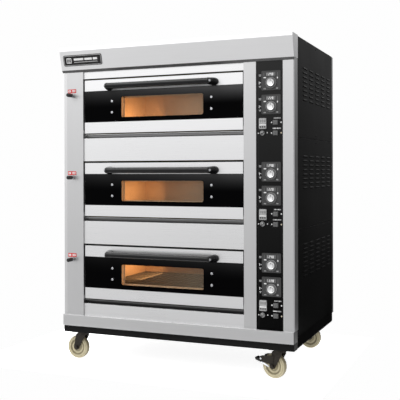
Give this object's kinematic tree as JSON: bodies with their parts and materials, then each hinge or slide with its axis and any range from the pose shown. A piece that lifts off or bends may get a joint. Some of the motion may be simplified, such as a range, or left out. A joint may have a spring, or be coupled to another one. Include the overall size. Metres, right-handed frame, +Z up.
{
  "type": "deck oven",
  "caption": "Tall electric deck oven on swivel casters: stacked baking chambers behind bottom-hinged windowed doors with bar handles, and a black control column at the right.",
  "frame": {"origin": "on the floor, under the middle of the bounding box, handles included", "axes": "+Z up, the doors face -Y, the control column is at +X"},
  "size_m": [1.26, 0.889, 1.63],
  "materials": {
    "crown": "brushed stainless",
    "posts": "brushed stainless",
    "fascia": "brushed stainless",
    "rail": "brushed stainless",
    "door_steel": "brushed stainless",
    "door_glass": "black enamelled band, gloss",
    "pane": "clear heat-resistant glass",
    "handle": "black moulded bar and brackets, semi-gloss",
    "casing_black": "black powder coat",
    "frame_black": "black powder coat",
    "rear_steel": "plain sheet",
    "panel_black": "black printed panel, satin",
    "bezel": "dark grey plastic",
    "knob": "grey skirt with bright disc",
    "button": "grey plastic",
    "selector": "grey plastic",
    "plates": "printed plate",
    "rod": "steel rod with black knob",
    "liner": "aluminised sheet, heat tinted",
    "hearth": "dark sheet steel",
    "element": "sheathed element",
    "lamp": "lamp glass",
    "gasket": "glass-fibre tape",
    "insulation": "mineral wool board",
    "hinge": "plain steel",
    "duct": "galvanised sheet",
    "gear": "moulded electrical housings",
    "caster_steel": "dark plated steel",
    "caster_plate": "dark plated steel",
    "wheel": "cream nylon",
    "brake": "black pedal on plated lever"
  },
  "bodies": {
    "oven": {"base_frame": "frame_black", "base_rail": "rail", "front_posts": "posts", "crown": "crown", "name_plates": "plates", "side_panels": "casing_black", "rear_panel": "rear_steel", "top_cover": "casing_black", "fascia_panels": "fascia", "chamber_liners": "liner", "hearth_plates": "hearth", "heating_elements": "element", "chamber_lamps": "lamp", "door_gaskets": "gasket", "hinge_brackets": "hinge", "flue_duct": "duct", "insulation": "insulation", "control_panel": "panel_black", "panel_instruments": "bezel", "electrical_gear": "gear", "caster_plates": "caster_plate"},
    "door_lower": {"door_frame_lower": "door_steel", "door_glass_lower": "door_glass", "window_pane_lower": "pane", "handle_lower": "handle"},
    "damper_lower": {"damper_rod_lower": "rod"},
    "dial_lower_top": {"dial_knob_lower_top": "knob"},
    "dial_lower_bottom": {"dial_knob_lower_bottom": "knob"},
    "button_lower_a": {"push_button_lower_a": "button"},
    "button_lower_b": {"push_button_lower_b": "button"},
    "selector_lower": {"selector_lower": "selector"},
    "door_middle": {"door_frame_middle": "door_steel", "door_glass_middle": "door_glass", "window_pane_middle": "pane", "handle_middle": "handle"},
    "damper_middle": {"damper_rod_middle": "rod"},
    "dial_middle_top": {"dial_knob_middle_top": "knob"},
    "dial_middle_bottom": {"dial_knob_middle_bottom": "knob"},
    "button_middle_a": {"push_button_middle_a": "button"},
    "button_middle_b": {"push_button_middle_b": "button"},
    "selector_middle": {"selector_middle": "selector"},
    "door_upper": {"door_frame_upper": "door_steel", "door_glass_upper": "door_glass", "window_pane_upper": "pane", "handle_upper": "handle"},
    "damper_upper": {"damper_rod_upper": "rod"},
    "dial_upper_top": {"dial_knob_upper_top": "knob"},
    "dial_upper_bottom": {"dial_knob_upper_bottom": "knob"},
    "button_upper_a": {"push_button_upper_a": "button"},
    "button_upper_b": {"push_button_upper_b": "button"},
    "selector_upper": {"selector_upper": "selector"},
    "caster_front_left": {"caster_fork_front_left": "caster_steel"},
    "wheel_front_left": {"caster_wheel_front_left": "wheel"},
    "caster_front_right": {"caster_fork_front_right": "caster_steel"},
    "wheel_front_right": {"caster_wheel_front_right": "wheel"},
    "caster_rear_left": {"caster_fork_rear_left": "caster_steel"},
    "wheel_rear_left": {"caster_wheel_rear_left": "wheel"},
    "caster_rear_right": {"caster_fork_rear_right": "caster_steel"},
    "wheel_rear_right": {"caster_wheel_rear_right": "wheel"},
    "brake_front_right": {"brake_pedal_front_right": "brake"}
  },
  "joints": [
    {"name": "door_lower_hinge", "type": "hinge", "parent": "oven", "child": "door_lower", "pos_m": [-0.0645, -0.3745, 0.334], "axis": [1, 0, 0], "range_deg": [0, 90]},
    {"name": "damper_lower_slide", "type": "slide", "parent": "oven", "child": "damper_lower", "axis": [0, -1, 0], "range_m": [0, 0.05]},
    {"name": "dial_lower_top_turn", "type": "hinge", "parent": "oven", "child": "dial_lower_top", "pos_m": [0.516, -0.3865, 0.543], "axis": [0, 1, 0], "range_deg": [0, 270]},
    {"name": "dial_lower_bottom_turn", "type": "hinge", "parent": "oven", "child": "dial_lower_bottom", "pos_m": [0.516, -0.3865, 0.4305], "axis": [0, 1, 0], "range_deg": [0, 270]},
    {"name": "button_lower_a_press", "type": "slide", "parent": "oven", "child": "button_lower_a", "axis": [0, 1, 0], "range_m": [0, 0.003], "stiffness_N_per_m": 400, "springref_m": -0.002},
    {"name": "button_lower_b_press", "type": "slide", "parent": "oven", "child": "button_lower_b", "axis": [0, 1, 0], "range_m": [0, 0.003], "stiffness_N_per_m": 400, "springref_m": -0.002},
    {"name": "selector_lower_turn", "type": "hinge", "parent": "oven", "child": "selector_lower", "pos_m": [0.4725, -0.3865, 0.3065], "axis": [0, 1, 0], "range_deg": [0, 90]},
    {"name": "door_middle_hinge", "type": "hinge", "parent": "oven", "child": "door_middle", "pos_m": [-0.0645, -0.3745, 0.764], "axis": [1, 0, 0], "range_deg": [0, 90]},
    {"name": "damper_middle_slide", "type": "slide", "parent": "oven", "child": "damper_middle", "axis": [0, -1, 0], "range_m": [0, 0.05]},
    {"name": "dial_middle_top_turn", "type": "hinge", "parent": "oven", "child": "dial_middle_top", "pos_m": [0.516, -0.3865, 0.973], "axis": [0, 1, 0], "range_deg": [0, 270]},
    {"name": "dial_middle_bottom_turn", "type": "hinge", "parent": "oven", "child": "dial_middle_bottom", "pos_m": [0.516, -0.3865, 0.8605], "axis": [0, 1, 0], "range_deg": [0, 270]},
    {"name": "button_middle_a_press", "type": "slide", "parent": "oven", "child": "button_middle_a", "axis": [0, 1, 0], "range_m": [0, 0.003], "stiffness_N_per_m": 400, "springref_m": -0.002},
    {"name": "button_middle_b_press", "type": "slide", "parent": "oven", "child": "button_middle_b", "axis": [0, 1, 0], "range_m": [0, 0.003], "stiffness_N_per_m": 400, "springref_m": -0.002},
    {"name": "selector_middle_turn", "type": "hinge", "parent": "oven", "child": "selector_middle", "pos_m": [0.4725, -0.3865, 0.7365], "axis": [0, 1, 0], "range_deg": [0, 90]},
    {"name": "door_upper_hinge", "type": "hinge", "parent": "oven", "child": "door_upper", "pos_m": [-0.0645, -0.3745, 1.194], "axis": [1, 0, 0], "range_deg": [0, 90]},
    {"name": "damper_upper_slide", "type": "slide", "parent": "oven", "child": "damper_upper", "axis": [0, -1, 0], "range_m": [0, 0.05]},
    {"name": "dial_upper_top_turn", "type": "hinge", "parent": "oven", "child": "dial_upper_top", "pos_m": [0.516, -0.3865, 1.403], "axis": [0, 1, 0], "range_deg": [0, 270]},
    {"name": "dial_upper_bottom_turn", "type": "hinge", "parent": "oven", "child": "dial_upper_bottom", "pos_m": [0.516, -0.3865, 1.2905], "axis": [0, 1, 0], "range_deg": [0, 270]},
    {"name": "button_upper_a_press", "type": "slide", "parent": "oven", "child": "button_upper_a", "axis": [0, 1, 0], "range_m": [0, 0.003], "stiffness_N_per_m": 400, "springref_m": -0.002},
    {"name": "button_upper_b_press", "type": "slide", "parent": "oven", "child": "button_upper_b", "axis": [0, 1, 0], "range_m": [0, 0.003], "stiffness_N_per_m": 400, "springref_m": -0.002},
    {"name": "selector_upper_turn", "type": "hinge", "parent": "oven", "child": "selector_upper", "pos_m": [0.4725, -0.3865, 1.1665], "axis": [0, 1, 0], "range_deg": [0, 90]},
    {"name": "caster_front_left_swivel", "type": "hinge", "parent": "oven", "child": "caster_front_left", "pos_m": [-0.54, -0.3385, 0.136], "axis": [0, 0, 1], "continuous": true},
    {"name": "wheel_front_left_roll", "type": "hinge", "parent": "caster_front_left", "child": "wheel_front_left", "pos_m": [-0.566, -0.3385, 0.06], "axis": [0, 1, 0], "continuous": true},
    {"name": "caster_front_right_swivel", "type": "hinge", "parent": "oven", "child": "caster_front_right", "pos_m": [0.54, -0.3385, 0.136], "axis": [0, 0, 1], "continuous": true},
    {"name": "wheel_front_right_roll", "type": "hinge", "parent": "caster_front_right", "child": "wheel_front_right", "pos_m": [0.51457, -0.33309, 0.06], "axis": [0.2079, 0.9781, 0], "continuous": true},
    {"name": "caster_rear_left_swivel", "type": "hinge", "parent": "oven", "child": "caster_rear_left", "pos_m": [-0.54, 0.3455, 0.136], "axis": [0, 0, 1], "continuous": true},
    {"name": "wheel_rear_left_roll", "type": "hinge", "parent": "caster_rear_left", "child": "wheel_rear_left", "pos_m": [-0.566, 0.3455, 0.06], "axis": [0, 1, 0], "continuous": true},
    {"name": "caster_rear_right_swivel", "type": "hinge", "parent": "oven", "child": "caster_rear_right", "pos_m": [0.54, 0.3455, 0.136], "axis": [0, 0, 1], "continuous": true},
    {"name": "wheel_rear_right_roll", "type": "hinge", "parent": "caster_rear_right", "child": "wheel_rear_right", "pos_m": [0.514, 0.3455, 0.06], "axis": [0, 1, 0], "continuous": true},
    {"name": "brake_front_right_press", "type": "hinge", "parent": "caster_front_right", "child": "brake_front_right", "pos_m": [0.4549, -0.32041, 0.091], "axis": [-0.2079, -0.9781, 0], "range_deg": [0, 11]}
  ]
}
